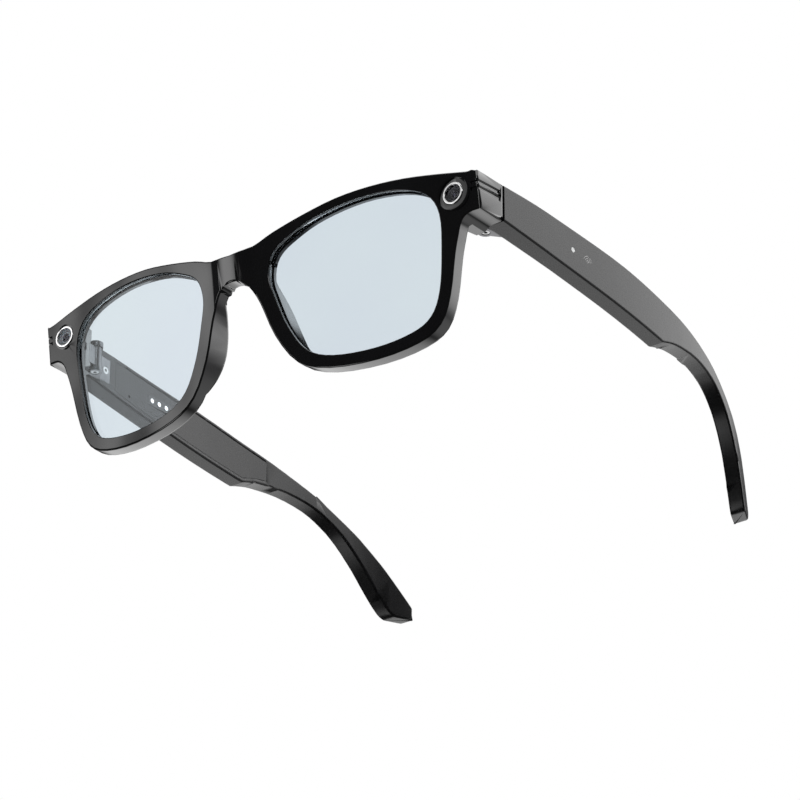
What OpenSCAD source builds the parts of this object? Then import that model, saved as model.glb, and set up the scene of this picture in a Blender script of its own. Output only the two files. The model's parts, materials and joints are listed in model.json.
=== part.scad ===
// Smart glasses with a camera in one end piece, an indicator light in the other,
// and electronics in both temples. +Z is up, the front faces -Y and the temples
// run towards +Y. "Left" is the wearer's left, at +X. The glasses stand on z = 0.

/* [Overall] */
// Front to back length, from the bridge to the temple tips
overall_depth = 153; // [127:0.5:180]
// Height of the camera axis above the surface that the rims stand on
axis_height = 38.5; // [30:0.5:48]

/* [Front] */
// Width of one lens opening
lens_w = 50.4; // [42:0.2:60]
// Height of one lens opening
lens_h = 41; // [34:0.5:50]
// Gap between the two lens openings
bridge_gap = 22.2; // [16:0.2:27]
// Drop from the camera axis to the middle of the lens
lens_drop = 14.7; // [12:0.1:18]
// Front to back depth of the rims
rim_depth = 4.2; // [3.4:0.1:6]
// Rim width beside the lens, towards the temples
rim_side = 3.3; // [2.4:0.1:5]
// Rim width beside the nose
rim_nose = 5; // [3.5:0.1:7]
// Height of the brow bar above the lens
brow_h = 2.4; // [1.8:0.1:4]
// Height of the bridge
bridge_h = 7.4; // [5:0.2:9]
// Backward sweep of each half of the front, in degrees
wrap_angle = 8.3; // [4:0.1:11]
// Forward lean of the top of the front, in degrees
lean_angle = 8.3; // [4:0.1:11]
// How far the nose pads stand out behind the rims
pad_bulge = 3.2; // [1.5:0.1:5]
// Thickness of the lenses
lens_t = 2; // [1.4:0.1:2.4]
// Depth of the groove that holds the lens
lens_seat = 0.7; // [0.4:0.1:1]

/* [End pieces] */
// Distance from the lens opening to the camera axis
module_inset = 4.5; // [4:0.1:7]
// Distance from the camera axis to the outer face
module_side = 8; // [6.5:0.1:10]
// Depth of an end piece behind the camera axis point
end_depth = 11; // [9.5:0.1:14]
// End piece height above the camera axis
end_up = 4.9; // [4.5:0.1:6]
// End piece height below the camera axis
end_down = 5.7; // [5:0.1:7]
// How far the outer face leans in from the joint to the front corner
end_splay = 0.8; // [0:0.1:1.5]
// Radius of the corner between the front and the outer face
corner_r = 1.1; // [0.6:0.1:2]
// Wall of the end pieces
end_wall = 1.2; // [0.9:0.1:1.6]

/* [Camera and indicator] */
// Outer radius of the bright rings
ring_r = 3.1; // [2.55:0.05:3.6]
// Width of the bright rings
ring_w = 0.62; // [0.4:0.02:0.9]
// Radius of the flat seat round the camera
camera_seat_r = 4.5; // [4.2:0.1:4.6]
// Radius of the flat seat round the indicator
light_seat_r = 3.5; // [3.4:0.05:4]

/* [Hinges] */
// Distance of the hinge axis inside the temple's inner face
hinge_inset = 1.95; // [1.8:0.05:3]
// Distance of the hinge axis behind the joint face
hinge_back = 2.8; // [2.5:0.1:3.6]
// Radius of the hinge barrels
barrel_r = 1.7; // [1.4:0.05:1.75]
// Radius of the hinge screw's shank
screw_r = 0.7; // [0.5:0.05:0.8]
// Height of the hinge, from its lower tab to its upper tab
hinge_h = 9; // [7.5:0.1:9.2]

/* [Temples] */
// Thickness of a temple at the joint
temple_t = 6; // [5.4:0.1:7.2]
// Distance from the joint face to the bend over the ear
bend_at = 70; // [60:1:90]
// Height of a temple at the bend
bend_h = 12.5; // [11:0.1:16]
// Drop of the lower edge from the joint to the bend
temple_drop = 6.9; // [3:0.1:9]
// Wall of the temple shells
shell_wall = 1.1; // [0.9:0.05:1.3]
// Thickness of the inner covers
cover_t = 1; // [0.8:0.05:1.2]
// Gap between a cover or a button and its seat
seat_gap = 0.1; // [0.05:0.01:0.15]

/* [Controls] */
// Travel of the capture button
button_travel = 0.4; // [0.2:0.05:0.5]
// Travel of the power slider
slider_travel = 1.6; // [1:0.1:2]
// Number of charging contacts
contact_count = 4; // [2:1:5]
// Distance between charging contacts
contact_pitch = 3; // [2.2:0.1:3.4]

/* [Hidden] */
$fn = 48;
eps = 0.01;

// Front: places worked out from the driving sizes
lens_x = bridge_gap / 2 + lens_w / 2;
module_x = lens_x + lens_w / 2 + module_inset;
outer_x = module_x + module_side;
module_z = axis_height;
lens_z = module_z - lens_drop;
wrap_slope = tan(wrap_angle);
lean_slope = tan(lean_angle);
brow_top = lens_z + lens_h / 2 + brow_h;
end_top = module_z + end_up;
end_bottom = module_z - end_down;
bridge_top = module_z - 0.4;
crease_x = bridge_gap / 2 - 4;
crease_rise = 1.2;
front_y = -overall_depth / 2;
apex_y = front_y + crease_rise - crease_x * wrap_slope + bridge_top * lean_slope;
module_y = apex_y + module_x * wrap_slope / cos(lean_angle) - module_z * lean_slope;
joint_y = module_y + end_depth;

// Hinge
hinge_x = outer_x - temple_t - hinge_inset;
hinge_y = joint_y + hinge_back;
joint_gap = 0.25;
run_gap = 0.05;
tab_r = barrel_r + 0.3;
tab_t = 1.6;
hinge_low = end_bottom + 0.1;
hinge_top = hinge_low + hinge_h;
tab_gap = 0.1;
barrel_z0 = hinge_low + tab_t + tab_gap;
barrel_z1 = hinge_top - tab_t - tab_gap;
leaf_t = 0.9;
leaf_len = 12;
leaf_start = 0.7;
leaf_edge = 0.9;
leaf_screw_r = 0.6;
head_r = 1.1;
head_h = 0.5;

// Inner side of an end piece at the joint face
bay_in_x = hinge_x - barrel_r + 0.9;

// Temple: lengths along it are measured from the joint face
temple_len = overall_depth / 2 - joint_y;
tip_run = temple_len - bend_at;
bend_low = end_bottom - temple_drop;
temple_top = end_top - 0.3;
bay_start = leaf_len + 2.4;
bay_end = bend_at + 10;
lip = 1.3;

// A smooth curve through points, n steps from each to the next
function blend4(a, b, c, d, t) =
    0.5 * (2 * b + (c - a) * t + (2 * a - 5 * b + 4 * c - d) * t * t
    + (3 * b - a - 3 * c + d) * t * t * t);
function open_curve(p, n) = concat(
    [for (i = [0 : len(p) - 2], k = [0 : n - 1])
        blend4(p[max(i - 1, 0)], p[i], p[i + 1], p[min(i + 2, len(p) - 1)], k / n)],
    [p[len(p) - 1]]);
function closed_curve(p, n) =
    [for (i = [0 : len(p) - 1], k = [0 : n - 1])
        blend4(p[(i + len(p) - 1) % len(p)], p[i], p[(i + 1) % len(p)], p[(i + 2) % len(p)], k / n)];
function unit(v) = v / norm(v);
function left_of(v) = [-v[1], v[0]];
function reversed(p) = [for (i = [len(p) - 1 : -1 : 0]) p[i]];
function flipped(p) = [for (q = p) [-q[0], q[1]]];
// Moves a closed outline sideways by d, to the left of its direction
function shifted_loop(p, d) =
    [for (i = [0 : len(p) - 1])
        p[i] + d * left_of(unit(p[(i + 1) % len(p)] - p[(i + len(p) - 1) % len(p)]))];
// Moves an open line sideways by d, to the left of its direction
function shifted_line(p, d) =
    [for (i = [0 : len(p) - 1])
        p[i] + d * left_of(unit(p[min(i + 1, len(p) - 1)] - p[max(i - 1, 0)]))];

// Lens shape on a unit box, clockwise from the nose side
lens_shape = [
    [-1, 0.29], [-0.93, 0.58], [-0.706, 0.763], [-0.369, 0.917], [0.107, 1], [0.563, 0.955],
    [0.869, 0.799], [0.996, 0.498], [0.98, 0], [0.917, -0.484], [0.794, -0.786],
    [0.563, -0.932], [0.147, -1], [-0.329, -0.96], [-0.627, -0.804], [-0.821, -0.451],
    [-0.94, -0.04]
];
function lens_point(q) = [lens_x + q[0] * lens_w / 2, lens_z + q[1] * lens_h / 2];
lens_loop = closed_curve([for (q = lens_shape) lens_point(q)], 4);
// Outline of the rim below the lens: the lens shape with the rim's width added
rim_points = [for (i = [9 : 16])
    let (q = lens_shape[i], w = q[0] > 0 ? rim_side : rim_nose)
    [lens_x + q[0] * (lens_w / 2 + w), lens_z + q[1] * (lens_h / 2 + rim_side)]];
brow_line = open_curve([
    [0, bridge_top],
    [crease_x, bridge_top + 0.9],
    [bridge_gap / 2 + 2, bridge_top + 3.2],
    [lens_x - 14, brow_top - 2.8],
    [lens_x - 4, brow_top - 0.7],
    [lens_x + 6, brow_top],
    [lens_x + 16, brow_top - 0.4],
    [module_x - 4, end_top + 1.6],
    [outer_x - 4, end_top + 0.2],
    [outer_x - 1.2, end_top]], 3);
under_line = open_curve(concat(
    [[outer_x - 1.2, end_bottom],
    [module_x + 3.6, end_bottom - 0.3],
    [module_x + 1.4, end_bottom - 2.1],
    [module_x + 0.2, end_bottom - 5.4],
    [module_x - 1.2, end_bottom - 10.2]],
    rim_points,
    [[crease_x - 2, bridge_top - bridge_h - 2.6],
    [crease_x - 4.6, bridge_top - bridge_h - 0.5],
    [0, bridge_top - bridge_h]]), 3);
half_outline = concat(brow_line,
    [[outer_x - 0.35, end_top - 0.35], [outer_x, end_top - 1.2],
    [outer_x, end_bottom + 1.2], [outer_x - 0.35, end_bottom + 0.35]], under_line);
front_outline = concat(
    [for (i = [0 : len(half_outline) - 1]) half_outline[i]],
    [for (i = [len(half_outline) - 2 : -1 : 1]) [-half_outline[i][0], half_outline[i][1]]]);

// Plan line of the front face: flat wings and a rounded bridge between two creases
bridge_steps = 5;
front_line = concat(
    [[outer_x + 5, (outer_x + 5) * wrap_slope]],
    [for (i = [bridge_steps : -1 : -bridge_steps])
        let (x = crease_x * i / bridge_steps)
        [x, crease_x * wrap_slope - crease_rise * (1 - pow(i / bridge_steps, 2))]],
    [[-outer_x - 5, (outer_x + 5) * wrap_slope]]);

// Half of the front's plan, with its outer corner rounded, moved in by d
corner_x = outer_x - end_splay - corner_r;
function corner_plan(d) = concat(
    [[outer_x + 2 - d, 4 * end_depth],
    [outer_x - d, joint_y - apex_y + module_z * lean_slope]],
    [for (a = [0 : -15 : -75])
        [corner_x, corner_x * wrap_slope + corner_r] + (corner_r - d) * [cos(a), sin(a)]]);
module rounded_front(d = 0) {
    side_plan = corner_plan(d);
    translate([0, apex_y, 0]) rotate([lean_angle, 0, 0])
        linear_extrude(3 * axis_height, center = true)
            polygon(concat(side_plan,
                [for (i = [1 : len(front_line) - 2]) front_line[i] + [0, d]],
                flipped(reversed(side_plan))));
}

// Raises an outline in X and Z to a wall along Y, from a to b
module wall_y(points, a, b) {
    translate([0, b, 0]) rotate([90, 0, 0]) linear_extrude(b - a) polygon(points);
}

// The layer between depths a and b behind the leaning, swept front face
module front_layer(a, b) {
    translate([0, apex_y, 0]) rotate([lean_angle, 0, 0])
        linear_extrude(3 * axis_height, center = true)
            polygon(concat([for (q = front_line) q + [0, a]],
                reversed([for (q = front_line) q + [0, b]])));
}

module both_sides() {
    children();
    mirror([1, 0, 0]) children();
}

// A cylinder along Y, from y0 to y1, round the camera's or the indicator's axis
module module_disc(side, r, y0, y1) {
    translate([side * module_x, y1, module_z]) rotate([90, 0, 0]) cylinder(r = r, h = y1 - y0);
}

// Plan shape of an end piece, behind the rim and up to the joint face
module end_block() {
    translate([0, 0, end_bottom - 1.5]) linear_extrude(30) polygon([
        [bay_in_x - 2.5, module_y - 4], [bay_in_x - 2.5, module_y + rim_depth],
        [bay_in_x - 0.6, joint_y - 3], [bay_in_x, joint_y], [outer_x - 0.5, joint_y],
        [outer_x, joint_y - 0.5], [outer_x + 1, module_y - 4]]);
}

// Space for the electronics in an end piece, open at the joint face
bay_x0 = bay_in_x + end_wall;
bay_x1 = outer_x - end_wall;
bay_z0 = end_bottom + end_wall;
bay_z1 = end_top - 0.4 - end_wall;
bracket_t = 0.9;
bracket_lip = 0.5;
bracket_screw_x = outer_x - 3;
bracket_screw_z = [end_bottom + 2.2, end_top - 2.6];
post_w = 2.6;
post_l = 4.4;
bay_front = 2.2;
neck_x = hinge_x - barrel_r + 0.7;
module end_bay() {
    difference() {
        translate([0, 0, bay_z0]) linear_extrude(bay_z1 - bay_z0) polygon([
            [bay_x0 - 2.5, module_y + bay_front], [bay_x0 - 2.5, module_y + rim_depth],
            [bay_x0 - 0.6, joint_y - 3], [bay_x0, joint_y], [bay_x0, joint_y + 1],
            [bay_x1, joint_y + 1], [bay_x1, joint_y], [bay_x1 - end_splay, module_y + bay_front]]);
        for (z = bracket_screw_z)
            translate([bracket_screw_x - post_w / 2, joint_y - post_l, z - post_w / 2])
                cube([2 * post_w, post_l - bracket_t, post_w]);
    }
    translate([bay_x0 - bracket_lip, joint_y - bracket_t, bay_z0 - bracket_lip])
        cube([bay_x1 - bay_x0 + 2 * bracket_lip, end_depth, bay_z1 - bay_z0 + 2 * bracket_lip]);
    translate([neck_x - run_gap, joint_y - bracket_t, barrel_z0 - run_gap])
        cube([bay_x0 - neck_x, end_depth, barrel_z1 - barrel_z0 + 2 * run_gap]);
}

// Two fine grooves that run from the front corner along an end piece's outer face
groove_w = 0.45;
groove_d = 0.4;
groove_pitch = 1.7;
groove_run = 2.2;
groove_hook = 0.5;
module side_grooves() {
    difference() {
        for (i = [0, 1]) translate([0, 0, module_z + 1.6 - i * groove_pitch]) {
            translate([outer_x - end_splay - groove_run, module_y - 3, 0])
                cube([end_splay + groove_run + 1, end_depth + 1.5, groove_w]);
            translate([outer_x - 2, module_y + end_depth - 1.5 - groove_w, -groove_hook])
                cube([3, groove_w, groove_hook + groove_w]);
            translate([outer_x - end_splay - groove_run, module_y - 3, -groove_hook])
                cube([groove_w, 5, groove_hook + groove_w]);
        }
        rounded_front(groove_d);
    }
}

flex_t = 0.3;
flex_top = 0.5;
flex_h = 0.65;
flex_depth = rim_depth / 2 + 0.3;
flex_tail = 1.1;
// Ribbon that follows the brow's upper edge, with a tail into each end piece's bay
module flex_shape(grow) {
    tail_x = bay_x0 + 0.5;
    intersection() {
        wall_y(concat(shifted_line(brow_line, -flex_top + grow),
            reversed(shifted_line(brow_line, -flex_top - flex_h - grow))), -overall_depth, overall_depth);
        translate([-eps, -overall_depth, 0]) cube([tail_x + flex_tail + grow, 2 * overall_depth, 2 * axis_height]);
    }
    translate([tail_x - grow, -overall_depth, bay_z1 - 0.5])
        cube([flex_tail + 2 * grow, 2 * overall_depth, end_top - bay_z1 + 0.5]);
    translate([-eps, -overall_depth, bridge_top - flex_top - flex_h - grow])
        cube([1, 2 * overall_depth, flex_h + 2 * grow]);
}
module brow_channel(grow) {
    intersection() {
        front_layer(flex_depth - flex_t / 2 - grow, flex_depth + flex_t / 2 + grow);
        both_sides() flex_shape(grow);
    }
}

module front_frame() {
    color([0.03, 0.03, 0.035]) difference() {
        union() {
            intersection() {
                wall_y(front_outline, front_y - 20, joint_y);
                rounded_front();
                union() {
                    front_layer(0, rim_depth);
                    both_sides() intersection() {
                        front_layer(0, 40);
                        end_block();
                    }
                }
            }
            both_sides() nose_pad();
            module_disc(1, camera_seat_r, module_y, module_y + 3);
            module_disc(-1, light_seat_r, module_y, module_y + 3);
        }
        both_sides() {
            wall_y(lens_loop, front_y - 20, joint_y);
            intersection() {
                front_layer(lens_front - 0.05, lens_front + lens_t + 0.05);
                wall_y(shifted_loop(lens_loop, lens_seat + 0.05), front_y - 20, joint_y);
            }
            end_bay();
            side_grooves();
        }
        module_disc(1, camera_seat_r, module_y - 5, module_y);
        module_disc(-1, light_seat_r, module_y - 5, module_y);
        for (side = [-1, 1]) {
            module_disc(side, ring_r + run_gap, module_y - 1, module_y + ring_t);
            module_disc(side, barrel_bore_r, module_y - 1, module_y + 4);
        }
        brow_channel(0.1);
        for (side = [-1, 1], z = bracket_screw_z)
            translate([side * bracket_screw_x, joint_y - 4, z]) rotate([-90, 0, 0])
                cylinder(r = leaf_screw_r - 0.1, h = 5);
    }
}

lens_front = 1;
ring_t = 0.9;
barrel_bore_r = ring_r - ring_w;

// The nose pads are moulded on the rims: a crowned wall behind the nose side of each
pad_r = 22;
pad_z = lens_z - lens_h * 0.22;
module nose_pad() {
    pad_x = lens_x - 0.8 * (lens_w / 2 + rim_nose / 2);
    pad_y = apex_y + pad_x * wrap_slope - pad_z * lean_slope + rim_depth + pad_bulge;
    intersection() {
        wall_y(front_outline, front_y - 20, joint_y);
        difference() {
            translate([pad_x, pad_y - pad_r, pad_z]) sphere(r = pad_r, $fn = 96);
            wall_y(lens_loop, front_y - 60, joint_y + 20);
        }
        front_layer(rim_depth / 2 + 0.8, 20);
        translate([0, front_y, 0]) cube([lens_x - lens_w / 4, 40, axis_height]);
    }
}

module lens() {
    intersection() {
        front_layer(lens_front, lens_front + lens_t);
        wall_y(shifted_loop(lens_loop, lens_seat), front_y - 20, joint_y);
    }
}
module lens_left() { color([0.8, 0.85, 0.88, 0.35]) lens(); }
module lens_right() { color([0.8, 0.85, 0.88, 0.35]) mirror([1, 0, 0]) lens(); }

ring_out = 0.3;
window_in = 0.25;
window_t = 0.6;
module bezel(side) {
    difference() {
        module_disc(side, ring_r, module_y - ring_out, module_y + ring_t);
        module_disc(side, barrel_bore_r, module_y - 1, module_y + ring_t + 1);
    }
}
module window_disc(side) {
    module_disc(side, barrel_bore_r - run_gap, module_y - ring_out + window_in,
        module_y - ring_out + window_in + window_t);
}
module camera_ring() { color("silver") bezel(1); }
module light_ring() { color("silver") bezel(-1); }
module camera_window() { color([0.1, 0.1, 0.12, 0.5]) window_disc(1); }
module light_window() { color([0.1, 0.1, 0.12, 0.5]) window_disc(-1); }

barrel_y0 = module_y - ring_out + window_in + window_t + 0.05;
board_y = module_y + 4.6;
module camera_barrel() {
    color([0.15, 0.15, 0.16]) difference() {
        union() {
            module_disc(1, barrel_bore_r - run_gap, barrel_y0, module_y + 2.6);
            translate([module_x - 1.9, module_y + 2.25, module_z - 2.6])
                cube([4.3, board_y - module_y - 2.3, 5.2]);
        }
        module_disc(1, 1.25, barrel_y0 - 1, barrel_y0 + 0.5);
        module_disc(1, 0.9, barrel_y0 - 1, board_y);
    }
}
module camera_lens() {
    color([0.2, 0.22, 0.35]) module_disc(1, 0.85, barrel_y0 + 0.7, barrel_y0 + 1.7);
}
module light_guide() {
    color([0.85, 0.85, 0.85]) difference() {
        module_disc(-1, barrel_bore_r - run_gap, barrel_y0, module_y + 3.4);
        module_disc(-1, 1.25, barrel_y0 - 1, barrel_y0 + 0.4);
    }
}
// Small board across an end piece's bay, clear of its walls
module bay_board(side, y, t) {
    w = 6;
    h = 6.4;
    translate([side > 0 ? bay_x0 - 1.6 : 1.6 - bay_x0 - w, y, module_z - h / 2 - 0.3])
        cube([w, t, h]);
}
module camera_board() { color("darkgreen") bay_board(1, board_y, 0.8); }
module light_board() {
    color("darkgreen") union() {
        bay_board(-1, board_y, 0.8);
        translate([-module_x - 0.8, module_y + 3.5, module_z - 0.8]) cube([1.6, board_y - module_y - 3.4, 1.6]);
    }
}
module brow_flex() { color([0.55, 0.3, 0.1]) brow_channel(0); }

// Metal bracket that closes an end piece and carries the fixed barrel of the hinge
module hinge_bracket() {
    color([0.35, 0.35, 0.37]) difference() {
        union() {
            translate([bay_x0 - bracket_lip + seat_gap, joint_y - bracket_t, bay_z0 - bracket_lip + seat_gap])
                cube([bay_x1 - bay_x0 + 2 * (bracket_lip - seat_gap), bracket_t,
                    bay_z1 - bay_z0 + 2 * (bracket_lip - seat_gap)]);
            translate([hinge_x, hinge_y, barrel_z0]) cylinder(r = barrel_r, h = barrel_z1 - barrel_z0);
            translate([neck_x, joint_y - bracket_t / 2, barrel_z0])
                cube([1.8, hinge_back + bracket_t / 2, barrel_z1 - barrel_z0]);
            translate([neck_x, joint_y - bracket_t, barrel_z0])
                cube([3, bracket_t, barrel_z1 - barrel_z0]);
        }
        translate([hinge_x, hinge_y, 0]) cylinder(r = screw_r + run_gap, h = 2 * axis_height);
        for (z = bracket_screw_z) translate([bracket_screw_x, joint_y - 2, z]) rotate([-90, 0, 0]) {
            cylinder(r = leaf_screw_r, h = 4);
            translate([0, 0, 2 - head_h]) cylinder(r = head_r + 0.05, h = 1);
        }
        translate([bay_x0 + 2.2, joint_y - 2, module_z - 1.5]) cube([1, 3, 3]);
    }
}
module hinge_bracket_left() { hinge_bracket(); }
module hinge_bracket_right() { mirror([1, 0, 0]) hinge_bracket(); }

// Countersunk screw pointing at -Y from its flush head
module small_screw(length) {
    rotate([90, 0, 0]) difference() {
        union() {
            cylinder(r = leaf_screw_r - 0.1, h = length);
            cylinder(r = head_r, h = head_h - 0.02);
        }
        translate([0, 0, -eps]) cylinder(r = 0.45, h = 0.3, $fn = 6);
    }
}
module bracket_screws() {
    color("dimgray") for (side = [-1, 1], z = bracket_screw_z)
        translate([side * bracket_screw_x, joint_y, z]) small_screw(3.4);
}

// Temple: plan centre line and its half thickness, for the left side
temple_centre = open_curve([
    [outer_x - temple_t / 2, joint_y + joint_gap],
    [outer_x - temple_t / 2 + 1.3, joint_y + 25],
    [outer_x - temple_t / 2 + 2, joint_y + bend_at - 16],
    [outer_x - temple_t / 2 + 0.9, joint_y + bend_at + 10],
    [outer_x - temple_t / 2 - 2, joint_y + bend_at + 0.48 * tip_run],
    [outer_x - temple_t / 2 - 6.6, joint_y + bend_at + 0.76 * tip_run],
    [outer_x - temple_t / 2 - 13.2, joint_y + temple_len]], 4);
function temple_half(y) =
    let (s = y - joint_y)
    temple_t / 2 - 0.35 * min(1, s / 25) - 0.45 * pow(s / temple_len, 2);
// Plan lines at depth d from the outer face, and from the inner face
function line_out(d) =
    [for (i = [0 : len(temple_centre) - 1])
        let (p = temple_centre[i],
            v = unit(temple_centre[min(i + 1, len(temple_centre) - 1)] - temple_centre[max(i - 1, 0)]))
        p - (temple_half(p[1]) - d) * left_of(v)];
function line_in(d) =
    [for (i = [0 : len(temple_centre) - 1])
        let (p = temple_centre[i],
            v = unit(temple_centre[min(i + 1, len(temple_centre) - 1)] - temple_centre[max(i - 1, 0)]))
        p + (temple_half(p[1]) - d) * left_of(v)];

// Side outline: upper edge, rounded tip, lower edge with its step at the bend
function past_bend(u, v) = [bend_at + u * tip_run, v * bend_low];
upper_edge = open_curve([
    [joint_gap, temple_top],
    [14, temple_top],
    [32, temple_top - 0.9],
    [bend_at - 18, temple_top - 2.3],
    [bend_at, bend_low + bend_h],
    past_bend(0.215, 1.394), past_bend(0.424, 1.251), past_bend(0.551, 1.116),
    past_bend(0.698, 0.907), past_bend(0.785, 0.73), past_bend(0.862, 0.537),
    past_bend(0.96, 0.235), past_bend(1, 0.1)], 3);
lower_edge = open_curve([
    [bend_at, bend_low],
    past_bend(0.06, 1.045), past_bend(0.141, 1.085), past_bend(0.3, 1.108),
    past_bend(0.458, 1.05), past_bend(0.571, 0.923), past_bend(0.656, 0.761),
    past_bend(0.743, 0.514), past_bend(0.815, 0.25), past_bend(0.873, 0.055),
    past_bend(0.905, 0)], 3);
side_loop = concat([[joint_gap, end_bottom]], upper_edge,
    [past_bend(0.998, 0.04), past_bend(0.985, 0)], reversed(lower_edge));

module wall_x(points) {
    translate([0, joint_y, 0]) rotate([90, 0, 90]) linear_extrude(2 * outer_x) polygon(points);
}
// The temple's side outline, or its straight part and bend with edges moved in by inset
hollow_end = bend_at + 0.35 * tip_run;
function inset_loop(inset) = concat(
    [for (q = upper_edge) if (q[0] < hollow_end) q - [0, inset]],
    reversed(concat([[joint_gap, end_bottom + inset]],
        [for (q = lower_edge) if (q[0] < hollow_end) q + [0, inset]])));
module temple_side(inset) {
    wall_x(inset == 0 ? side_loop : inset_loop(inset));
}
module plan_band(a, b) {
    linear_extrude(2 * axis_height) polygon(concat(a, reversed(b)));
}
// A stretch of a temple between lengths s0 and s1 and heights z0 and z1 over the axis
module stretch(s0, s1, z0 = -60, z1 = 60) {
    translate([0, joint_y + s0, module_z + z0]) cube([2 * outer_x, s1 - s0, z1 - z0]);
}
// A piece inside a temple that follows its curve, at depths d0 to d1 from the outer face
module inner_piece(s0, s1, z0, z1, d0, d1) {
    intersection() {
        plan_band(line_out(d0), line_out(d1));
        stretch(s0, s1, z0, z1);
    }
}
function centre_x(s) = lookup(joint_y + s, [for (p = temple_centre) [p[1], p[0]]]);
function inner_x(s) = centre_x(s) - temple_half(joint_y + s);

// Places inside a temple, as lengths from the joint face and heights over the axis
deep_lip = lip + 0.5;
mic_s = 20.9;
mic_z = -4.8;
status_s = 28.9;
status_z = -2.3;
speaker_s0 = bend_at - 3;
speaker_s1 = bend_at + 6.5;
speaker_h = 4.4;
speaker_z0 = bend_low - module_z + deep_lip + 2.55;
speaker_z1 = speaker_z0 + speaker_h;
mesh_s0 = bend_at - 4;
mesh_len = 9;
mesh_w = 1.4;

module temple_blank() {
    intersection() {
        plan_band(line_out(0), line_in(0));
        temple_side(0);
    }
}
module temple_bay() {
    intersection() {
        plan_band(line_in(cover_t + 0.05), line_in(-3));
        temple_side(lip);
        stretch(bay_start, bay_end);
    }
    intersection() {
        plan_band(line_out(shell_wall), line_in(-3));
        temple_side(deep_lip);
        stretch(bay_start + 0.5, bay_end - 0.5);
    }
    inner_piece(-1, bay_start + 1, -2, 1, temple_t / 2 - 0.6, temple_t / 2 - 0.1);
}
module leaf_recess(gap) {
    intersection() {
        plan_band(line_in(leaf_t + gap), line_in(-1));
        translate([0, joint_y + leaf_start - gap, hinge_low + leaf_edge - gap])
            cube([2 * outer_x, leaf_len - leaf_start + 2 * gap, hinge_h - 2 * leaf_edge + 2 * gap]);
    }
}
leaf_screw_s = [6.4, 10.2];
leaf_screw_l = 3.2;
leaf_screw_z = hinge_low + hinge_h / 2;
module at_leaf_screws() {
    for (s = leaf_screw_s) translate([inner_x(s) + 0.1, joint_y + s, leaf_screw_z])
        rotate([0, 0, 90]) children();
}
module speaker_slot() {
    inner_piece(mesh_s0, mesh_s0 + mesh_len, -4, 6, temple_t / 2 - 0.4 - mesh_w / 2, temple_t / 2 - 0.4 + mesh_w / 2);
}
module temple_shell() {
    difference() {
        temple_blank();
        temple_bay();
        leaf_recess(seat_gap / 2);
        at_leaf_screws() rotate([90, 0, 0]) translate([0, 0, -1]) cylinder(r = leaf_screw_r - 0.1, h = leaf_screw_l + 1.4);
        speaker_slot();
    }
}
module temple_cover() {
    intersection() {
        plan_band(line_in(0), line_in(cover_t));
        temple_side(lip + seat_gap);
        stretch(bay_start + seat_gap, bay_end - seat_gap);
    }
}
// Round hole through an inner cover, at a length and height
module cover_hole(s, z, r) {
    translate([inner_x(s) - 2, joint_y + s, module_z + z]) rotate([0, 90, 0]) cylinder(r = r, h = 4.5);
}

module temple_shell_left() {
    color([0.05, 0.05, 0.055]) difference() {
        temple_shell();
        translate([centre_x(status_s), joint_y + status_s, module_z + status_z])
            rotate([0, 90, 0]) cylinder(r = 0.75, h = 8);
    }
}
module temple_shell_right() {
    color([0.05, 0.05, 0.055]) mirror([1, 0, 0]) difference() {
        temple_shell();
        button_shape(seat_gap, -5, 4);
        button_foot(0.15, button_travel);
    }
}
module temple_cover_left() {
    color([0.05, 0.05, 0.055]) difference() {
        temple_cover();
        cover_hole(mic_s, mic_z, 0.45);
        slider_slot();
    }
}
module temple_cover_right() {
    color([0.05, 0.05, 0.055]) mirror([1, 0, 0]) difference() {
        temple_cover();
        cover_hole(mic_s, mic_z, 0.45);
        charge_block(seat_gap / 2);
    }
}

// Moving leaf of the hinge: a plate in the temple with a tab above and below the barrel
module hinge_tab(z) {
    translate([0, 0, z]) {
        translate([hinge_x, hinge_y, 0]) cylinder(r = tab_r, h = tab_t);
        linear_extrude(tab_t) polygon([
            [hinge_x, hinge_y - tab_r], [inner_x(1) + 0.5, hinge_y - tab_r],
            [inner_x(8) + 0.3, hinge_y + tab_r + 3.4], [hinge_x, hinge_y + tab_r]]);
    }
}
module hinge_leaf() {
    color([0.13, 0.13, 0.14]) difference() {
        union() {
            leaf_plate();
            difference() {
                union() {
                    hinge_tab(hinge_low);
                    hinge_tab(hinge_top - tab_t);
                }
                difference() {
                    plan_band(line_out(0), line_in(-run_gap));
                    translate([0, joint_y, hinge_low + leaf_edge])
                        cube([2 * outer_x, leaf_len, hinge_h - 2 * leaf_edge]);
                }
            }
        }
        translate([hinge_x, hinge_y, 0]) cylinder(r = screw_r + 0.03, h = hinge_top - 0.35);
        translate([hinge_x, hinge_y, 0]) cylinder(r = head_r + 0.1, h = hinge_low + 0.9);
        at_leaf_screws() rotate([90, 0, 0]) {
            translate([0, 0, -2]) cylinder(r = leaf_screw_r, h = 5);
            translate([0, 0, -2]) cylinder(r = head_r + 0.05, h = 2 + head_h);
        }
    }
}
module leaf_plate() {
    intersection() {
        plan_band(line_in(leaf_t), line_in(0.02));
        translate([0, joint_y + leaf_start, hinge_low + leaf_edge])
            cube([2 * outer_x, leaf_len - leaf_start, hinge_h - 2 * leaf_edge]);
    }
}
module hinge_leaf_left() { hinge_leaf(); }
module hinge_leaf_right() { mirror([1, 0, 0]) hinge_leaf(); }

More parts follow.
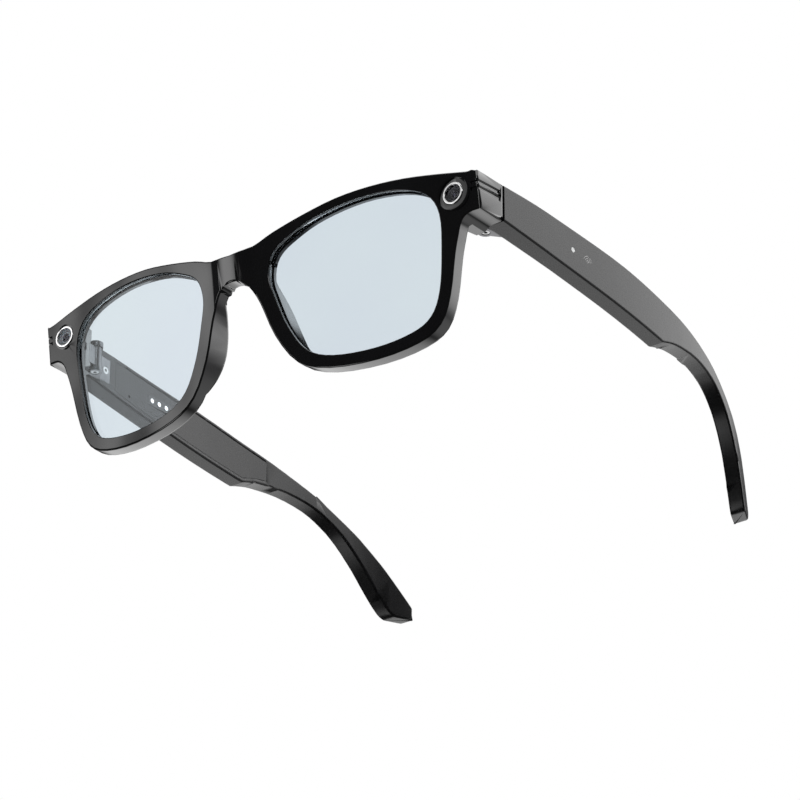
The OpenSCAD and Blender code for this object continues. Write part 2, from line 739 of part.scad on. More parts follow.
// Shouldered screw that joins the leaf's tabs through the barrel, with a six-sided socket
module hinge_screw() {
    color("dimgray") translate([hinge_x, hinge_y, 0]) difference() {
        union() {
            translate([0, 0, hinge_low + 0.15]) cylinder(r = head_r, h = 0.7);
            translate([0, 0, hinge_low + 0.15]) cylinder(r = screw_r, h = hinge_h - 0.6);
        }
        translate([0, 0, hinge_low]) cylinder(r = 0.55, h = 0.6, $fn = 6);
    }
}
module hinge_screw_left() { hinge_screw(); }
module hinge_screw_right() { mirror([1, 0, 0]) hinge_screw(); }
module leaf_screws() {
    color("dimgray") at_leaf_screws() small_screw(leaf_screw_l);
}
module leaf_screws_left() { leaf_screws(); }
module leaf_screws_right() { mirror([1, 0, 0]) leaf_screws(); }

// Electronics of the left temple
board_d0 = shell_wall + 1.2;
board_t = 0.7;
battery_t = 1.9;
battery_s0 = bend_at - 25;
battery_s1 = bend_at - 5;
module circuit_board() {
    inner_piece(bay_start + 1, battery_s0 - 1, -5, 0.7, board_d0, board_d0 + board_t);
}
module battery() {
    inner_piece(battery_s0, battery_s1, -7.2, -1.6, shell_wall + 0.4, shell_wall + 0.4 + battery_t);
}
module speaker_box() {
    inner_piece(speaker_s0, speaker_s1, speaker_z0, speaker_z1, shell_wall + 0.3, shell_wall + 2.6);
}
module speaker_mesh() {
    intersection() {
        speaker_slot_core();
        temple_side(0.25);
        temple_mesh_low();
    }
}
module speaker_slot_core() {
    inner_piece(mesh_s0 + 0.1, mesh_s0 + mesh_len - 0.1, -4, 6,
        temple_t / 2 - 0.3 - mesh_w / 2, temple_t / 2 - 0.5 + mesh_w / 2);
}
module temple_mesh_low() {
    difference() {
        stretch(0, bay_end);
        temple_side(0.85);
    }
}
module circuit_board_left() { color("darkgreen") circuit_board(); }
module battery_left() { color([0.7, 0.72, 0.75]) battery(); }
module speaker_left() { color([0.12, 0.12, 0.12]) speaker_box(); }
module speaker_mesh_left() { color([0.2, 0.2, 0.2]) speaker_mesh(); }
module microphone() {
    translate([inner_x(mic_s) + cover_t + 0.1, joint_y + mic_s - 1.1, module_z + mic_z - 0.35])
        cube([0.55, 2.2, 1.5]);
}
module microphone_left() { color("gold") microphone(); }
module touch_pad_left() {
    color([0.55, 0.3, 0.1]) inner_piece(battery_s0 - 12, battery_s1, -6.2, -1.6, shell_wall + 0.05, shell_wall + 0.3);
}
module status_window_left() {
    color([0.9, 0.9, 0.9]) intersection() {
        plan_band(line_out(0.05), line_out(shell_wall - 0.05));
        translate([centre_x(status_s), joint_y + status_s, module_z + status_z])
            rotate([0, 90, 0]) cylinder(r = 0.7, h = 8);
    }
}
module status_light_left() {
    color([0.9, 0.9, 0.7]) inner_piece(status_s - 0.5, status_s + 0.5, status_z - 0.5, status_z + 0.5,
        board_d0 - 0.7, board_d0 - 0.02);
}

// Power slider in the left cover: it slides along the temple
slider_s = 26;
slider_z = -2.2;
slider_l = 3;
slider_h = 1.8;
module slider_slot() {
    translate([inner_x(slider_s) - 2, joint_y + slider_s - slider_l / 2 - seat_gap, module_z + slider_z - slider_h / 2 - seat_gap])
        cube([5, slider_l + slider_travel + 2 * seat_gap, slider_h + 2 * seat_gap]);
}
module power_slider() {
    color([0.2, 0.2, 0.21]) difference() {
        translate([inner_x(slider_s) - 0.35, joint_y + slider_s - slider_l / 2, module_z + slider_z - slider_h / 2])
            cube([cover_t + 0.35, slider_l, slider_h]);
        for (i = [-1, 0, 1]) translate([inner_x(slider_s) - 0.5, joint_y + slider_s + i * 0.8 - 0.15, module_z + slider_z - slider_h])
            cube([0.3, 0.3, 2 * slider_h]);
    }
}
module power_switch_left() {
    color([0.6, 0.6, 0.62]) translate([inner_x(slider_s) + cover_t + 0.15, joint_y + slider_s - slider_l / 2, module_z + slider_z - 1])
        cube([0.7, slider_l + slider_travel, 2]);
}

module circuit_board_right() { color("darkgreen") mirror([1, 0, 0]) circuit_board(); }
module battery_right() { color([0.7, 0.72, 0.75]) mirror([1, 0, 0]) battery(); }
module speaker_right() { color([0.12, 0.12, 0.12]) mirror([1, 0, 0]) speaker_box(); }
module speaker_mesh_right() { color([0.2, 0.2, 0.2]) mirror([1, 0, 0]) speaker_mesh(); }
module microphone_right() { color("gold") mirror([1, 0, 0]) microphone(); }

// Capture button in the right temple's upper edge: it travels down onto its switch
button_s0 = 17;
button_s1 = 25;
button_w = 2;
button_x = centre_x((button_s0 + button_s1) / 2);
module button_shape(grow, z0, z1) {
    r = button_w / 2 + grow;
    for (s = [button_s0 + button_w / 2, button_s1 - button_w / 2])
        translate([button_x, joint_y + s, temple_top + z0]) cylinder(r = r, h = z1 - z0);
    translate([button_x - r, joint_y + button_s0 + button_w / 2, temple_top + z0])
        cube([2 * r, button_s1 - button_s0 - button_w, z1 - z0]);
}
module button_foot(grow, drop) {
    translate([button_x - button_w / 2 - grow, joint_y + button_s0 - 0.6 - grow, temple_top - 2.5 - grow - drop])
        cube([button_w + 2 * grow, button_s1 - button_s0 + 1.2 + 2 * grow, 0.6 + 2 * grow + drop]);
}
module capture_button() {
    color([0.12, 0.12, 0.13]) mirror([1, 0, 0]) union() {
        button_shape(0, -2.5, 0.4);
        button_foot(0, 0);
    }
}
module button_switch_right() {
    color([0.75, 0.75, 0.75]) mirror([1, 0, 0])
        translate([button_x - 0.9, joint_y + (button_s0 + button_s1) / 2 - 1.2, temple_top - 2.5 - button_travel - 0.95])
            cube([1.8, 2.4, 0.9]);
}

// Charging pad: a flat plastic block with round contacts, and a magnet beyond each end
charge_s0 = 29.3;
charge_h = 2.9;
charge_z = -2.2;
charge_len = (contact_count - 1) * contact_pitch + 3.2;
pad_x = inner_x(charge_s0) - 0.02;
contact_r = 0.75;
magnet_r = 1.4;
module charge_block(grow) {
    translate([pad_x - (grow > 0 ? 1 : 0), joint_y + charge_s0 - grow, module_z + charge_z - charge_h / 2 - grow])
        cube([1.5 + (grow > 0 ? 1.5 : 0), charge_len + 2 * grow, charge_h + 2 * grow]);
}
module at_contacts() {
    for (i = [0 : contact_count - 1])
        translate([pad_x, joint_y + charge_s0 + 1.6 + i * contact_pitch, module_z + charge_z]) rotate([0, 90, 0])
            children();
}
module charge_pad_right() {
    color([0.06, 0.06, 0.065]) mirror([1, 0, 0]) difference() {
        charge_block(0);
        at_contacts() translate([0, 0, -1]) cylinder(r = contact_r + 0.02, h = 4);
    }
}
module charge_contacts() {
    color("silver") mirror([1, 0, 0]) at_contacts() translate([0, 0, -0.12]) cylinder(r = contact_r, h = 1.72);
}
module charge_magnets() {
    color("gray") mirror([1, 0, 0]) for (s = [charge_s0 - magnet_r - 0.6, charge_s0 + charge_len + magnet_r + 0.6])
        translate([inner_x(s) + cover_t + 0.15, joint_y + s, module_z + charge_z]) rotate([0, 90, 0])
            cylinder(r = magnet_r, h = 0.5);
}

front_frame();
lens_left();
lens_right();
camera_ring();
camera_window();
camera_barrel();
camera_lens();
camera_board();
light_ring();
light_window();
light_guide();
light_board();
brow_flex();
hinge_bracket_left();
hinge_bracket_right();
bracket_screws();
temple_shell_left();
temple_cover_left();
hinge_leaf_left();
hinge_screw_left();
leaf_screws_left();
battery_left();
circuit_board_left();
touch_pad_left();
status_window_left();
status_light_left();
speaker_left();
speaker_mesh_left();
microphone_left();
power_slider();
power_switch_left();
temple_shell_right();
temple_cover_right();
hinge_leaf_right();
hinge_screw_right();
leaf_screws_right();
battery_right();
circuit_board_right();
speaker_right();
speaker_mesh_right();
microphone_right();
capture_button();
button_switch_right();
charge_pad_right();
charge_contacts();
charge_magnets();
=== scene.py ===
import json
import math

import bmesh
import bpy
from mathutils import Matrix, Vector
from mathutils.bvhtree import BVHTree

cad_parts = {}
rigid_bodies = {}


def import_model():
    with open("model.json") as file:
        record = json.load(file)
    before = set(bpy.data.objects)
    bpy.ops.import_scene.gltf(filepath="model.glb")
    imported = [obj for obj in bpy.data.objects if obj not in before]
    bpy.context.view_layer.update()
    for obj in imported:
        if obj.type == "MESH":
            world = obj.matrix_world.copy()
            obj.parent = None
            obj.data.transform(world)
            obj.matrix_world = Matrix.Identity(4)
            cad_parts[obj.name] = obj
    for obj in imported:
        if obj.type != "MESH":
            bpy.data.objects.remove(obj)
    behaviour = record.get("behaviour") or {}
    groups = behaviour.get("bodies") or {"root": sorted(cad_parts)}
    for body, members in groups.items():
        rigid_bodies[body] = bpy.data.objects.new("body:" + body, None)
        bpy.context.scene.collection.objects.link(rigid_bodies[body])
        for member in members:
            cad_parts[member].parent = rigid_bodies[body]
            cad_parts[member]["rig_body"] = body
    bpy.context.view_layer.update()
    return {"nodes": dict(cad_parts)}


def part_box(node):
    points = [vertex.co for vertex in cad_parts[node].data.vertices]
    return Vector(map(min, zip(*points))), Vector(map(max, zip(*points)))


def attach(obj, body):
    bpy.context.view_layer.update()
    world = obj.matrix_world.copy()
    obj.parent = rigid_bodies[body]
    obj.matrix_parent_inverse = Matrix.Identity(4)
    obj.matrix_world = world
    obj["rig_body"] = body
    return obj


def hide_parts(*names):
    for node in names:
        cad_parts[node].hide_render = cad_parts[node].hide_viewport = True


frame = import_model()


# Front: one glossy black acetate moulding with both rims, the bridge, the nose
# pads and the two end pieces. It is milled, tumbled until every edge is round, and
# polished, so its skin is nearly a mirror with a very faint ripple.
MM = 0.001


def noise(tree, scale, detail):
    """A noise pattern on object coordinates; scale is in features to the metre."""
    place = tree.nodes.new("ShaderNodeTexCoord")
    cloud = tree.nodes.new("ShaderNodeTexNoise")
    cloud.inputs["Scale"].default_value = scale
    cloud.inputs["Detail"].default_value = detail
    tree.links.new(place.outputs["Object"], cloud.inputs["Vector"])
    return cloud.outputs["Fac"]


def ranged(tree, value, low, high):
    """Spreads the middle of a noise pattern, where most of it lies, over low to high."""
    middle_from, middle_to = 0.3, 0.7
    spread = tree.nodes.new("ShaderNodeMapRange")
    spread.inputs["From Min"].default_value = middle_from
    spread.inputs["From Max"].default_value = middle_to
    spread.inputs["To Min"].default_value = low
    spread.inputs["To Max"].default_value = high
    tree.links.new(value, spread.inputs["Value"])
    return spread.outputs["Result"]


def finish(name, dark, light, rough, grain, depth, metal=0.0, coat=0.0,
           cloud=120, ripple=0.0, **sockets):
    """A surface whose colour drifts slowly and whose skin has a fine grain.

    cloud and grain are in features to the metre. depth and ripple are the heights, in
    metres, of the grain and of a slow wave under it. Any other shader socket is named
    with _ for a space.
    """
    colour_detail, grain_detail = 4.0, 3.0
    wave_scale, wave_detail = 35, 1.0
    made = bpy.data.materials.new(name)
    made.use_nodes = True
    tree = made.node_tree
    shader = tree.nodes["Principled BSDF"]
    tint = tree.nodes.new("ShaderNodeMix")
    tint.data_type = "RGBA"
    tint.inputs["A"].default_value = (*dark, 1)
    tint.inputs["B"].default_value = (*light, 1)
    drift = ranged(tree, noise(tree, cloud, colour_detail), 0, 1)
    tree.links.new(drift, tint.inputs["Factor"])
    tree.links.new(tint.outputs["Result"], shader.inputs["Base Color"])
    fine = noise(tree, grain, grain_detail)
    tree.links.new(ranged(tree, fine, *rough), shader.inputs["Roughness"])
    bump = tree.nodes.new("ShaderNodeBump")
    bump.inputs["Strength"].default_value = 1.0
    bump.inputs["Distance"].default_value = depth
    tree.links.new(fine, bump.inputs["Height"])
    if ripple:
        wave = tree.nodes.new("ShaderNodeBump")
        wave.inputs["Distance"].default_value = ripple
        tree.links.new(noise(tree, wave_scale, wave_detail), wave.inputs["Height"])
        tree.links.new(wave.outputs["Normal"], bump.inputs["Normal"])
    tree.links.new(bump.outputs["Normal"], shader.inputs["Normal"])
    shader.inputs["Metallic"].default_value = metal
    shader.inputs["Coat Weight"].default_value = coat
    for socket, value in sockets.items():
        shader.inputs[socket.replace("_", " ")].default_value = value
    return made


def cad_copy(node):
    """The CAD node's mesh, merged, with its flat faces made whole."""
    merge_within = 0.004 * MM
    flat_within = math.radians(0.08)
    shape = bmesh.new()
    shape.from_mesh(frame["nodes"][node].data)
    bmesh.ops.remove_doubles(shape, verts=shape.verts, dist=merge_within)
    bmesh.ops.dissolve_limit(shape, angle_limit=flat_within,
                             verts=shape.verts, edges=shape.edges)
    return shape


def skin_at(shape, point, crease):
    """All faces reached from the one nearest a point without crossing a crease."""
    shape.faces.ensure_lookup_table()
    start = BVHTree.FromBMesh(shape).find_nearest(Vector(point))[2]
    sharpest = math.radians(crease)
    reached = {shape.faces[start]}
    waiting = list(reached)
    while waiting:
        face = waiting.pop()
        for edge in face.edges:
            if edge.calc_face_angle(math.pi) >= sharpest:
                continue
            for other in edge.link_faces:
                if other not in reached:
                    reached.add(other)
                    waiting.append(other)
    return reached


def border(first, second):
    """The creased edges that the first skin shares with the second."""
    crease = math.radians(25)
    return [e for e in {e for f in first for e in f.edges}
            if len(e.link_faces) == 2 and e.calc_face_angle() > crease
            and any(f in second for f in e.link_faces)
            and not all(f in first for f in e.link_faces)]


def rounded(shape, edges, width, segments, clamp=False):
    """Rounds edges; unclamped, slivers much shorter than the rounding close up first."""
    sliver = 0.3 * width
    if not clamp:
        edges = [e for e in edges if e.is_valid]
        bmesh.ops.collapse(shape, uvs=False,
                           edges=[e for e in edges if e.calc_length() < sliver])
        edges = [e for e in edges if e.is_valid]
    bmesh.ops.bevel(shape, geom=edges, offset=width, offset_type="OFFSET",
                    affect="EDGES", segments=segments, profile=0.5, material=-1,
                    clamp_overlap=clamp)


def sharp_edges(shape):
    """All edges of a shape that turn by more than a rounded corner's facets do."""
    turn = math.radians(50)
    return [e for e in shape.edges
            if len(e.link_faces) == 2 and e.calc_face_angle() > turn]


def piece(shape, name, body, material, stands_for=None, smooth=40):
    """Turns a bmesh into a finished, smooth shaded piece that rides on a body."""
    skin = bpy.data.meshes.new(name)
    shape.to_mesh(skin)
    shape.free()
    skin.shade_smooth()
    skin.set_sharp_from_angle(angle=math.radians(smooth))
    skin.materials.append(material)
    made = bpy.data.objects.new(name, skin)
    bpy.context.scene.collection.objects.link(made)
    even = made.modifiers.new("even shading", "WEIGHTED_NORMAL")
    even.keep_sharp = True
    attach(made, body)
    if stands_for:
        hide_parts(stands_for)


def body_of(node):
    """The body that a CAD node moves with."""
    return frame["nodes"][node]["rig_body"]


gloss_black = finish("gloss_black", (0.004, 0.004, 0.005), (0.008, 0.008, 0.010),
                     (0.05, 0.10), 900, 0.0005 * MM, ripple=1.2 * MM,
                     coat=0.5, Coat_Roughness=0.03)

lens_low, lens_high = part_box("lens_left")
lens_x = (lens_low[0] + lens_high[0]) / 2
front_low, front_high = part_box("front_frame")
ring_low, ring_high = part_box("camera_ring")
ring_x = (ring_low[0] + ring_high[0]) / 2
ring_z = (ring_low[2] + ring_high[2]) / 2

# Each skin of the front is found from a point beside it, far off where that makes the
# nearest face sure. The outer wall has facets at its corners, which are found singly.
front = cad_copy("front_frame")
broad, corner, opening = 35, 15, 50
above, below = 200 * MM, -200 * MM
corner_out, corner_rise = 124 * MM, 55 * MM
sill_z = lens_low[2] + 2.5 * MM
face_skin = skin_at(front, (lens_x, front_low[1], front_high[2] - 1 * MM), broad)
rear_skin = skin_at(front, (lens_x, ring_high[1] + 30 * MM, front_low[2] + 5.5 * MM),
                    broad)
walls = (skin_at(front, (lens_x, ring_low[1] - 2.3 * MM, above), broad)
         | skin_at(front, (lens_x, ring_low[1] + 3.6 * MM, below), broad))
openings = set()
for hand in (1, -1):
    for rise in (corner_rise, -corner_rise):
        facet = (hand * corner_out, ring_low[1] + 5 * MM, ring_z + rise)
        walls |= skin_at(front, facet, corner)
    for behind in (1.5 * MM, 4.7 * MM):
        sill = (hand * lens_x, ring_low[1] + behind, sill_z)
        openings |= skin_at(front, sill, opening)
rim_front = border(walls, face_skin)
rim_rear = border(walls, rear_skin)
opening_edges = list(set(border(openings, face_skin)) | set(border(openings, rear_skin)))
rounded(front, rim_front, 0.5 * MM, 4)
rounded(front, rim_rear, 0.9 * MM, 4)
rounded(front, opening_edges, 0.3 * MM, 3)
piece(front, "front_polished", body_of("front_frame"), gloss_black, "front_frame")


# Lenses: two flat polycarbonate sheets with a faint blue grey tint. They snap into
# the grooves. Their coating cuts reflections, which a low index stands for.
clear_lens = finish("clear_lens", (0.655, 0.725, 0.79), (0.675, 0.755, 0.80),
                    (0.012, 0.03), 1200, 0.0001 * MM, cloud=25,
                    Transmission_Weight=1.0, IOR=1.42)
for side in ("left", "right"):
    lens = cad_copy("lens_" + side)
    rounded(lens, sharp_edges(lens), 0.12 * MM, 2, True)
    piece(lens, "lens_ground_" + side, body_of("lens_" + side), clear_lens,
          "lens_" + side)


# Bezels: turned and polished steel rings pressed into the end pieces, one round the
# camera and one round the indicator.
bright_steel = finish("bright_steel", (0.86, 0.86, 0.86), (0.95, 0.95, 0.95),
                      (0.10, 0.18), 4000, 0.0004 * MM, metal=1.0)
for node in ("camera_ring", "light_ring"):
    ring = cad_copy(node)
    rounded(ring, sharp_edges(ring), 0.13 * MM, 2, True)
    piece(ring, node + "_polished", body_of(node), bright_steel, node)


# Camera: a black barrel behind a flat, coated window, with a stepped face ring, a
# turned iris and a small domed front element. The indicator has the same face, over
# a milky light guide.
def coated(material, *nodes):
    """Gives CAD nodes that keep their own shape a finish."""
    for node in nodes:
        own = frame["nodes"][node]
        own.data.materials.clear()
        own.data.materials.append(material)


def turned(profile, centre, steps):
    """Spins a profile of (radius, depth) points, in millimetres, round the Y axis."""
    merge_within = 0.002 * MM
    shape = bmesh.new()
    ring = [shape.verts.new((r * MM, y * MM, 0)) for r, y in profile]
    rim = [shape.edges.new(pair) for pair in zip(ring, ring[1:])]
    bmesh.ops.spin(shape, geom=ring + rim, cent=(0, 0, 0), axis=(0, 1, 0),
                   dvec=(0, 0, 0), angle=2 * math.pi, steps=steps, use_merge=True)
    bmesh.ops.remove_doubles(shape, verts=shape.verts, dist=merge_within)
    bmesh.ops.recalc_face_normals(shape, faces=shape.faces)
    bmesh.ops.translate(shape, verts=shape.verts, vec=centre)
    return shape


window_glass = finish("window_glass", (0.62, 0.62, 0.64), (0.66, 0.66, 0.69),
                      (0.02, 0.04), 1500, 0.0001 * MM, Transmission_Weight=1.0,
                      IOR=1.16)
coated(window_glass, "camera_window", "light_window")
barrel_black = finish("barrel_black", (0.010, 0.010, 0.011), (0.018, 0.018, 0.019),
                      (0.3, 0.42), 6000, 0.002 * MM)
coated(barrel_black, "camera_barrel")
iris_grey = finish("iris_grey", (0.10, 0.10, 0.105), (0.15, 0.15, 0.16), (0.25, 0.35),
                   9000, 0.003 * MM, metal=0.8)
element_glass = finish("element_glass", (0.012, 0.013, 0.03), (0.02, 0.018, 0.045),
                       (0.02, 0.03), 800, 0.0001 * MM, cloud=900, coat=1.0,
                       Coat_Roughness=0.02)
coated(element_glass, "camera_lens")
milky_plastic = finish("milky_plastic", (0.5, 0.5, 0.49), (0.6, 0.6, 0.58), (0.35, 0.45),
                       4000, 0.001 * MM, Subsurface_Weight=0.3)
coated(milky_plastic, "light_guide", "status_light_left")
window_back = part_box("camera_window")[1][1]
for node, hand in (("camera", 1), ("light", -1)):
    seat = (hand * ring_x, window_back + 0.06 * MM, ring_z)
    face_ring = turned([(1.85, 0), (1.85, -0.04), (1.72, -0.04), (1.66, 0.02),
                        (1.3, 0.02), (1.3, 0.03), (1.85, 0.03), (1.85, 0)], seat, 64)
    piece(face_ring, node + "_face_ring", "front", iris_grey, smooth=25)
    iris = turned([(1.22, 0.02), (1.18, -0.03), (1.02, -0.03), (0.78, 0.3),
                   (0.78, 0.45), (1.22, 0.45), (1.22, 0.02)], seat, 64)
    piece(iris, node + "_iris", "front", iris_grey, smooth=25)
    element = turned([(0, 0.12), (0.2, 0.135), (0.4, 0.18), (0.58, 0.26), (0.7, 0.36),
                      (0.7, 0.44), (0, 0.44)], seat, 40)
    piece(element, node + "_front_element", "front", element_glass)


# Boards, ribbon, cells and the rest of the works: laminate with a green mask, amber
# film, foil wrapped cells, and plated or blackened steel.
board_green = finish("board_green", (0.01, 0.06, 0.03), (0.015, 0.085, 0.04), (0.3, 0.4),
                     3000, 0.002 * MM, coat=0.4)
coated(board_green, "camera_board", "light_board", "circuit_board_left",
       "circuit_board_right")
amber_film = finish("amber_film", (0.35, 0.15, 0.03), (0.45, 0.2, 0.05), (0.2, 0.3),
                    2500, 0.001 * MM, coat=0.3)
coated(amber_film, "brow_flex", "touch_pad_left")
cell_foil = finish("cell_foil", (0.55, 0.56, 0.58), (0.7, 0.71, 0.73), (0.25, 0.4),
                   1800, 0.006 * MM, metal=0.9)
coated(cell_foil, "battery_left", "battery_right")
speaker_black = finish("speaker_black", (0.02, 0.02, 0.02), (0.035, 0.035, 0.035),
                       (0.45, 0.6), 5000, 0.003 * MM)
coated(speaker_black, "speaker_left", "speaker_right")
mesh_steel = finish("mesh_steel", (0.05, 0.05, 0.05), (0.22, 0.22, 0.22), (0.3, 0.5),
                    9000, 0.02 * MM, metal=0.9, cloud=6000)
coated(mesh_steel, "speaker_mesh_left", "speaker_mesh_right")
gold_plate = finish("gold_plate", (0.85, 0.62, 0.25), (0.95, 0.72, 0.32), (0.15, 0.25),
                    5000, 0.001 * MM, metal=1.0)
coated(gold_plate, "microphone_left", "microphone_right")
switch_metal = finish("switch_metal", (0.5, 0.5, 0.5), (0.62, 0.62, 0.62), (0.25, 0.35),
                      5000, 0.001 * MM, metal=1.0)
coated(switch_metal, "power_switch_left", "button_switch_right", "charge_magnets")


# Hinges: stamped and tumbled steel, blackened, turning on a bright shouldered screw
# with a six-sided socket. Small screws hold the leaves and the brackets.
dark_steel = finish("dark_steel", (0.10, 0.10, 0.105), (0.17, 0.17, 0.175), (0.24, 0.38),
                    5000, 0.001 * MM, metal=1.0)
for node in ("hinge_bracket_left", "hinge_bracket_right", "hinge_leaf_left",
             "hinge_leaf_right"):
    plate = cad_copy(node)
    rounded(plate, sharp_edges(plate), 0.1 * MM, 2, True)
    piece(plate, node + "_tumbled", body_of(node), dark_steel, node)
screw_steel = finish("screw_steel", (0.32, 0.32, 0.32), (0.42, 0.42, 0.42), (0.2, 0.32),
                     5000, 0.001 * MM, metal=1.0)
coated(screw_steel, "bracket_screws", "hinge_screw_left", "hinge_screw_right",
       "leaf_screws_left", "leaf_screws_right")


# Temples: satin black nylon shells, closed on the inside by a thin cover of the same
# plastic. Both outlines of a shell are rounded, and so are the cover's edges.
satin_black = finish("satin_black", (0.010, 0.010, 0.011), (0.016, 0.016, 0.017),
                     (0.24, 0.32), 6000, 0.0015 * MM, Specular_IOR_Level=0.27)
for side, hand in (("left", 1), ("right", -1)):
    node = "temple_shell_" + side
    shell = cad_copy(node)
    low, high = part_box(node)
    middle = (low[1] + high[1]) / 2
    wall_x = hand * 71 * MM
    flank, wall = 30, 50
    outer_skin = skin_at(shell, (hand * 90 * MM, middle, 30 * MM), flank)
    inner_skin = skin_at(shell, (0, high[1] - 30 * MM, 20 * MM), flank)
    edge_wall = (skin_at(shell, (wall_x, middle, 60 * MM), wall)
                 | skin_at(shell, (wall_x, low[1] + 30 * MM, 10 * MM), wall))
    edges = list(set(border(edge_wall, outer_skin)) | set(border(edge_wall, inner_skin)))
    rounded(shell, edges, 0.6 * MM, 3)
    piece(shell, "temple_polished_" + side, body_of(node), satin_black, node)
    cover = cad_copy("temple_cover_" + side)
    rounded(cover, sharp_edges(cover), 0.12 * MM, 2, True)
    piece(cover, "cover_moulded_" + side, body_of("temple_cover_" + side),
          satin_black, "temple_cover_" + side)


# Contacts and controls: turned pins in a black block, a ribbed power slider, the
# capture button, and the clear rod of the status light.
contact_plate = finish("contact_plate", (0.8, 0.8, 0.79), (0.92, 0.92, 0.91), (0.12, 0.2),
                       5000, 0.001 * MM, metal=1.0)
pins = cad_copy("charge_contacts")
rounded(pins, sharp_edges(pins), 0.15 * MM, 3, True)
piece(pins, "contacts_turned", body_of("charge_contacts"), contact_plate,
      "charge_contacts")
control_black = finish("control_black", (0.02, 0.02, 0.021), (0.032, 0.032, 0.034),
                       (0.36, 0.46), 7000, 0.003 * MM)
for node, width in (("charge_pad_right", 0.1), ("power_slider", 0.06),
                    ("capture_button", 0.25)):
    block = cad_copy(node)
    rounded(block, sharp_edges(block), width * MM, 2, True)
    piece(block, node + "_moulded", body_of(node), control_black, node)
status_rod = finish("status_rod", (0.6, 0.62, 0.62), (0.7, 0.72, 0.72), (0.1, 0.2),
                    3000, 0.001 * MM, coat=0.5)
coated(status_rod, "status_window_left")


# Touch mark: plain concentric arcs, pad printed in light grey ink on the left
# temple's outer face, over the touch pad.
print_grey = finish("print_grey", (0.42, 0.42, 0.42), (0.5, 0.5, 0.5), (0.5, 0.6),
                    9000, 0.001 * MM)
rod_low, rod_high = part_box("status_window_left")
mark_y = (rod_low[1] + rod_high[1]) / 2 + 6.2 * MM
mark_z = (rod_low[2] + rod_high[2]) / 2 - 1.2 * MM
arc, half_line, dot = 150, 0.09, 0.22 * MM
clear_of_skin = 90 * MM
ink = Vector((0.015 * MM, 0, 0))
temple_skin = BVHTree.FromObject(bpy.data.objects["temple_polished_left"],
                                 bpy.context.evaluated_depsgraph_get())
mark = bmesh.new()
for radius in (0.55, 1.15, 1.75):
    pair = [mark.verts.new((0, 0, (radius + side) * MM))
            for side in (-half_line, half_line)]
    line = mark.edges.new(pair)
    bmesh.ops.spin(mark, geom=[line, *pair], cent=(0, 0, 0), axis=(1, 0, 0),
                   dvec=(0, 0, 0), angle=math.radians(arc), steps=18, use_merge=False)
bmesh.ops.rotate(mark, verts=mark.verts, cent=(0, 0, 0),
                 matrix=Matrix.Rotation(math.radians(-arc / 2), 3, "X"))
bmesh.ops.create_circle(mark, cap_ends=True, segments=20, radius=dot,
                        matrix=Matrix.Rotation(math.radians(90), 4, "Y"))
bmesh.ops.translate(mark, verts=mark.verts, vec=(clear_of_skin, mark_y, mark_z))
for spot in mark.verts:
    spot.co = temple_skin.ray_cast(spot.co, Vector((-1, 0, 0)))[0] + ink
bmesh.ops.recalc_face_normals(mark, faces=mark.faces)
piece(mark, "touch_mark", "temple_left", print_grey)


# Stage: a pale floor far below, a white surround that only the eye sees, and a soft
# studio sky of wide and narrow glowing patches for the polish to mirror.
world = bpy.data.worlds.new("studio")
bpy.context.scene.world = world
world.use_nodes = True
sky = world.node_tree
sky_colour = sky.nodes["Background"].inputs["Color"]
look = sky.nodes.new("ShaderNodeTexCoord").outputs["Generated"]


def glow(direction, core, reach, radiance):
    """A soft patch of sky: full inside core degrees of a direction, gone at reach."""
    aimed = sky.nodes.new("ShaderNodeVectorMath")
    aimed.operation = "DOT_PRODUCT"
    aimed.inputs[1].default_value = Vector(direction).normalized()
    sky.links.new(look, aimed.inputs[0])
    fade = sky.nodes.new("ShaderNodeMapRange")
    fade.interpolation_type = "SMOOTHSTEP"
    fade.inputs["From Min"].default_value = math.cos(math.radians(reach))
    fade.inputs["From Max"].default_value = math.cos(math.radians(core))
    fade.inputs["To Max"].default_value = radiance
    sky.links.new(aimed.outputs["Value"], fade.inputs["Value"])
    return fade.outputs["Result"]


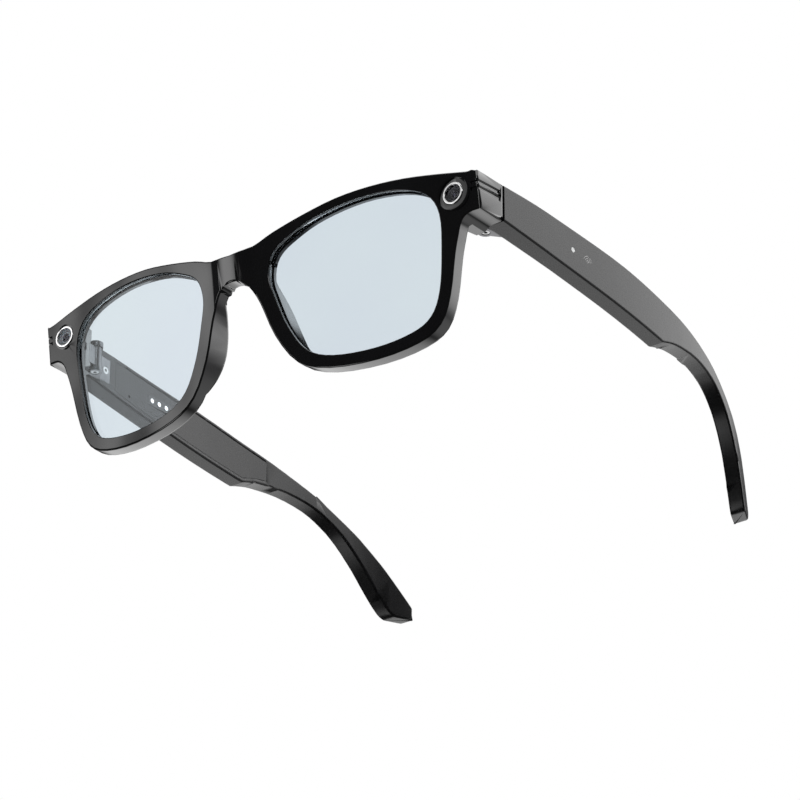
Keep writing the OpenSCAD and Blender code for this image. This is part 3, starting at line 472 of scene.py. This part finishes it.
# Each patch is a direction, its core and reach in degrees, and its radiance
patches = (
    ((0.55, 0.71, 0.44), 18, 42, 2.7),
    ((0.72, -0.54, 0.43), 4, 13, 5.0),
    ((-0.55, 0.71, -0.44), 12, 38, 1.7),
    ((-0.55, -0.44, -0.71), 3, 12, 3.0),
    ((0.44, 0.71, -0.55), 5, 30, 0.8),
    ((-0.55, -0.71, 0.44), 5, 13, 0.5),
    ((-0.64, -0.72, 0.24), 3, 17, 2.3),
    ((0.0, 0.0, 1.0), 12, 40, 1.8),
)
dim_sky = 0.06
total = None
for patch in patches:
    both = sky.nodes.new("ShaderNodeMath")
    both.inputs[0].default_value = dim_sky
    if total:
        sky.links.new(total, both.inputs[0])
    sky.links.new(glow(*patch), both.inputs[1])
    total = both.outputs[0]
sky.links.new(total, sky_colour)


def plain(name, colour, emission):
    """A dull white glow over a matt colour."""
    made = bpy.data.materials.new(name)
    made.use_nodes = True
    shader = made.node_tree.nodes["Principled BSDF"]
    shader.inputs["Base Color"].default_value = (*colour, 1)
    shader.inputs["Roughness"].default_value = 0.8
    shader.inputs["Specular IOR Level"].default_value = 0
    shader.inputs["Emission Color"].default_value = (1, 1, 1, 1)
    shader.inputs["Emission Strength"].default_value = emission
    return made


def scenery(shape, name, material):
    """Turns a shape into an object of the stage."""
    skin = bpy.data.meshes.new(name)
    shape.to_mesh(skin)
    shape.free()
    skin.materials.append(material)
    made = bpy.data.objects.new(name, skin)
    bpy.context.scene.collection.objects.link(made)
    return made


floor_half, floor_z, dome_radius = 6, -1.2, 8
ground = bmesh.new()
bmesh.ops.create_grid(ground, x_segments=1, y_segments=1, size=floor_half)
bmesh.ops.translate(ground, verts=ground.verts, vec=(0, 0, floor_z))
floor = scenery(ground, "floor", plain("pale_floor", (0.85, 0.85, 0.85), 0.55))
floor.visible_glossy = False
floor.visible_diffuse = False

dome = bmesh.new()
bmesh.ops.create_icosphere(dome, subdivisions=4, radius=dome_radius)
bmesh.ops.reverse_faces(dome, faces=dome.faces)
surround = scenery(dome, "surround", plain("white_surround", (0, 0, 0), 1.0))
surround.visible_glossy = False
surround.visible_diffuse = False
surround.visible_shadow = False

lens_data = bpy.data.cameras.new("camera")
lens_data.lens = 181.9
lens_data.sensor_width = 36
lens_data.clip_start = 0.05
lens_data.clip_end = 30
camera = bpy.data.objects.new("camera", lens_data)
bpy.context.scene.collection.objects.link(camera)
turn = math.radians(37.593)
tilt = math.radians(-26.041)
distance = 1.01183
target = Vector((0.04939, -0.06714, -0.01515))
back = Vector((math.sin(turn) * math.cos(tilt), -math.cos(turn) * math.cos(tilt),
               math.sin(tilt)))
camera.location = target + back * distance
camera.rotation_euler = back.to_track_quat("Z", "Y").to_euler()
bpy.context.scene.camera = camera
bpy.context.scene.view_settings.view_transform = "Standard"
